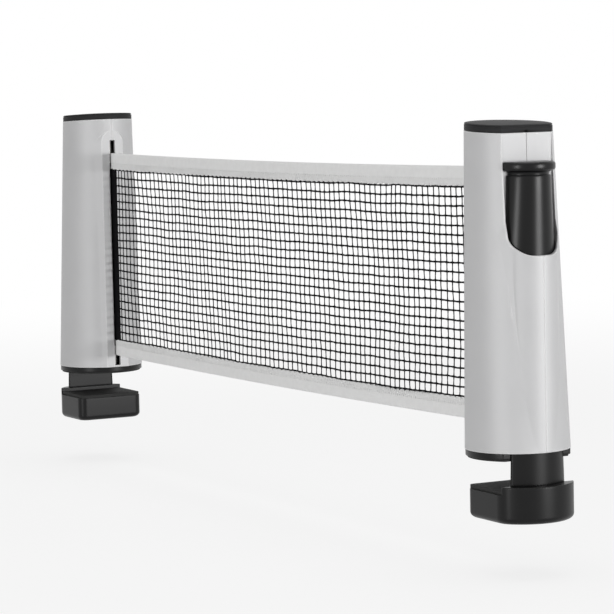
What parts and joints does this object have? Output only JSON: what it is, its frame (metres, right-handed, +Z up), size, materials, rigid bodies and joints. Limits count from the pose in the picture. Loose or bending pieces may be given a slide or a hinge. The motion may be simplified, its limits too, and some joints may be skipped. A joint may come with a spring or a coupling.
{
  "type": "table tennis net clamp",
  "caption": "Retractable table tennis net set: two tapered posts with spring clamp jaws that grip the table edge, a mesh net with white tapes between them.",
  "frame": {"origin": "middle of the near post's foot circle, on the plane of the table top", "axes": "+X along the net from the near post to the far post, +Y across the net, +Z up"},
  "size_m": [0.6064, 0.0564, 0.211],
  "materials": {
    "silver_plastic": "satin silver-grey",
    "cap_plastic": "satin dark grey",
    "black_plastic": "semi-gloss",
    "white_plastic": "plain",
    "pad_rubber": "matt",
    "zinc_steel": "zinc plated",
    "spring_steel": "oiled",
    "net_cloth": "knitted mesh",
    "white_tape": "woven tape"
  },
  "bodies": {
    "near_post": {"near_left_shell": "silver_plastic", "near_right_shell": "silver_plastic", "near_top_cap": "cap_plastic", "near_base_plate": "black_plastic", "near_foot_pad": "pad_rubber", "near_base_screws": "zinc_steel", "near_clamp_spring": "spring_steel", "near_spring_rod": "zinc_steel", "drum_shaft": "zinc_steel", "drum_return_spring": "spring_steel"},
    "near_clamp": {"near_grip_column": "black_plastic", "near_jaw": "black_plastic", "near_jaw_pad": "pad_rubber", "near_jaw_screw": "zinc_steel"},
    "net_drum": {"drum_tube": "black_plastic", "drum_lower_plug": "white_plastic", "drum_upper_plug": "white_plastic", "net_roll": "net_cloth"},
    "far_post": {"far_left_shell": "silver_plastic", "far_right_shell": "silver_plastic", "far_top_cap": "cap_plastic", "far_base_plate": "black_plastic", "far_foot_pad": "pad_rubber", "far_base_screws": "zinc_steel", "far_clamp_spring": "spring_steel", "far_spring_rod": "zinc_steel", "net_anchor_rod": "zinc_steel", "net_end_strip": "net_cloth", "net_mesh": "net_cloth", "net_top_tape": "white_tape", "net_bottom_tape": "white_tape", "net_lead": "net_cloth"},
    "far_clamp": {"far_grip_column": "black_plastic", "far_jaw": "black_plastic", "far_jaw_pad": "pad_rubber", "far_jaw_screw": "zinc_steel"}
  },
  "joints": [
    {"name": "near_clamp_slide", "type": "slide", "parent": "near_post", "child": "near_clamp", "axis": [0, 0, 1], "range_m": [-0.0295, 0.0152], "stiffness_N_per_m": 700, "deforming": ["near_clamp_spring"]},
    {"name": "far_clamp_slide", "type": "slide", "parent": "far_post", "child": "far_clamp", "axis": [0, 0, 1], "range_m": [-0.0295, 0.0152], "stiffness_N_per_m": 700, "deforming": ["far_clamp_spring"]},
    {"name": "net_pull", "type": "slide", "parent": "near_post", "child": "far_post", "axis": [1, 0, 0], "range_m": [-0.48, 1.2], "deforming": ["net_mesh", "net_top_tape", "net_bottom_tape", "net_lead"]},
    {"name": "drum_turn", "type": "hinge", "parent": "near_post", "child": "net_drum", "pos_m": [0.0076, 0, 0], "axis": [0, 0, 1], "range_deg": [-4320, 1740]}
  ],
  "couplings": [
    {"joint": "drum_turn", "follows": "net_pull", "rad_per_m": -62.5}
  ]
}
